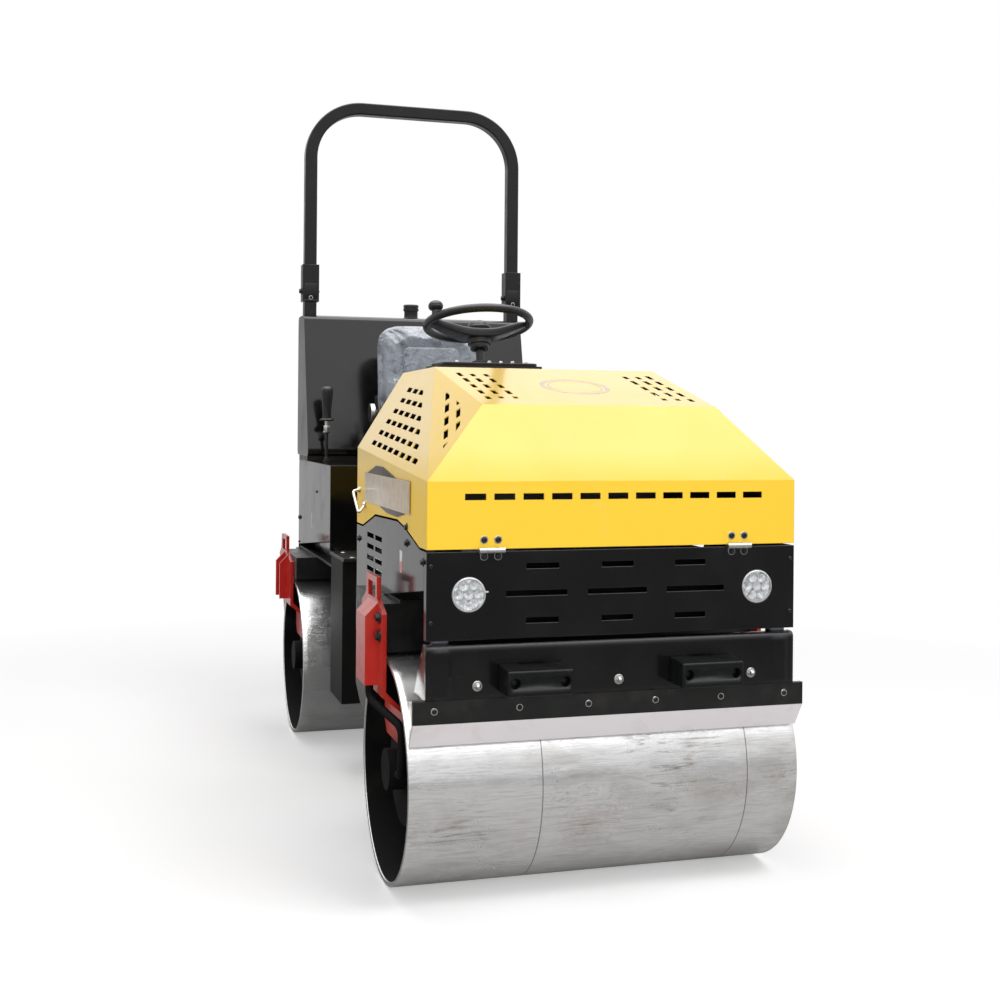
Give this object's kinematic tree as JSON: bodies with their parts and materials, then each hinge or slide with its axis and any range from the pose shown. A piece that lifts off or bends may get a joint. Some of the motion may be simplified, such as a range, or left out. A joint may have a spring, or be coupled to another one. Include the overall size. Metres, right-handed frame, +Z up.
{
  "type": "articulated ride-on tandem road roller",
  "caption": "Small ride-on vibratory road roller, articulated in the middle, with two steel drums, a tilting hood, an operator platform and a folding roll-over hoop.",
  "frame": {"origin": "on the ground under the articulation pivot, the middle of the machine's length and width", "axes": "+X forward, +Y to the machine's left, +Z up"},
  "size_m": [2.642, 1.17, 2.5669],
  "materials": {
    "yellow_paint": "gloss powder coat on folded sheet",
    "black_panel": "high-gloss black paint with slight orange peel",
    "black_frame": "satin black paint on heavy steel",
    "black_tube": "satin black powder coat on square tube",
    "red_paint": "gloss red-orange paint",
    "drum_steel": "turned steel with fine scratches and light staining",
    "rubber": "moulded black rubber",
    "black_plastic": "grained black plastic",
    "white_plastic": "white low-friction plastic strip",
    "seat_vinyl": "grey-black vinyl under clear wrinkled film",
    "zinc": "bright zinc plating",
    "lamp_glass": "clear lamp lens over reflectors",
    "engine_grey": "cast and painted engine mass"
  },
  "bodies": {
    "front_drum": {"front_drum": "drum_steel"},
    "rear_drum": {"rear_drum": "drum_steel"},
    "hood": {"hood_hinge_left": "zinc", "hood_hinge_right": "zinc", "hood_shell": "yellow_paint"},
    "articulation_yoke": {"articulation_yoke": "black_frame"},
    "steering_barrel": {"steering_barrel": "black_frame"},
    "steering_rod": {"steering_rod": "zinc"},
    "steering_wheel": {"steering_wheel": "black_plastic"},
    "rops_hoop": {"rops_hoop": "black_tube"},
    "front_frame": {"engine_block": "engine_grey", "front_beam": "black_frame", "front_bearing_left": "black_frame", "front_bearing_right": "black_frame", "front_bracket_left": "red_paint", "front_bracket_right": "red_paint", "front_bulkhead": "black_frame", "front_bumper_left": "rubber", "front_bumper_right": "rubber", "front_deck": "black_frame", "front_lower_panel": "black_panel", "front_scraper_bar": "black_frame", "front_scraper_blade": "white_plastic", "front_side_panel_left": "black_panel", "front_side_panel_right": "black_panel", "headlamp_left": "lamp_glass", "headlamp_right": "lamp_glass", "hinge_base_left": "zinc", "hinge_base_right": "zinc", "radiator_panel": "black_panel"},
    "rear_frame": {"articulation_head": "black_frame", "console_left": "black_panel", "console_lever": "black_plastic", "console_right": "black_panel", "dash": "black_plastic", "floor_plate": "black_frame", "pedestal": "black_panel", "rear_beam": "black_frame", "rear_bearing_left": "black_frame", "rear_bearing_right": "black_frame", "rear_bracket_left": "red_paint", "rear_bracket_right": "red_paint", "rear_bumper_left": "rubber", "rear_bumper_right": "rubber", "rear_deck": "black_frame", "rear_lower_panel": "black_panel", "rear_panel": "black_panel", "rear_post": "black_frame", "rear_scraper_bar": "black_frame", "rear_scraper_blade": "white_plastic", "rops_base_left": "black_tube", "rops_base_right": "black_tube", "seat_back": "seat_vinyl", "seat_box": "black_panel", "seat_cushion": "seat_vinyl", "seat_pan": "black_frame", "steering_column": "black_frame", "tank_cap": "black_plastic", "tank_stand": "black_frame", "water_tank": "black_panel"}
  },
  "joints": [
    {"name": "articulation", "type": "hinge", "parent": "rear_frame", "child": "articulation_yoke", "pos_m": [0, 0, 0.48], "axis": [0, 0, 1], "range_deg": [-30, 30]},
    {"name": "oscillation", "type": "hinge", "parent": "articulation_yoke", "child": "front_frame", "pos_m": [0.2985, 0, 0.48], "axis": [1, 0, 0], "range_deg": [-6, 6]},
    {"name": "hood_hinge", "type": "hinge", "parent": "front_frame", "child": "hood", "pos_m": [1.245, 0, 0.912], "axis": [0, 1, 0], "range_deg": [0, 65]},
    {"name": "front_drum_spin", "type": "hinge", "parent": "front_frame", "child": "front_drum", "pos_m": [0.9055, 0, 0.3], "axis": [0, 1, 0], "continuous": true},
    {"name": "rear_drum_spin", "type": "hinge", "parent": "rear_frame", "child": "rear_drum", "pos_m": [-0.9055, 0, 0.3], "axis": [0, 1, 0], "continuous": true},
    {"name": "steering_wheel_turn", "type": "hinge", "parent": "rear_frame", "child": "steering_wheel", "pos_m": [-0.1195, 0, 1.58], "axis": [-0.2419, 0, 0.9703], "continuous": true},
    {"name": "rops_fold", "type": "hinge", "parent": "rear_frame", "child": "rops_hoop", "pos_m": [-1.1745, 0, 1.768], "axis": [0, -1, 0], "range_deg": [0, 100]},
    {"name": "steering_barrel_swing", "type": "hinge", "parent": "rear_frame", "child": "steering_barrel", "pos_m": [-0.12, 0.16, 0.48], "axis": [0, 0, 1], "range_deg": [-18.6, 18.6]},
    {"name": "steering_rod_slide", "type": "slide", "parent": "steering_barrel", "child": "steering_rod", "axis": [0.9927, -0.1203, 0], "range_m": [-0.078, 0.078]}
  ],
  "couplings": [
    {"joint": "steering_barrel_swing", "follows": "articulation", "ratio": 0.588},
    {"joint": "steering_rod_slide", "follows": "articulation", "m_per_rad": -0.14323}
  ]
}
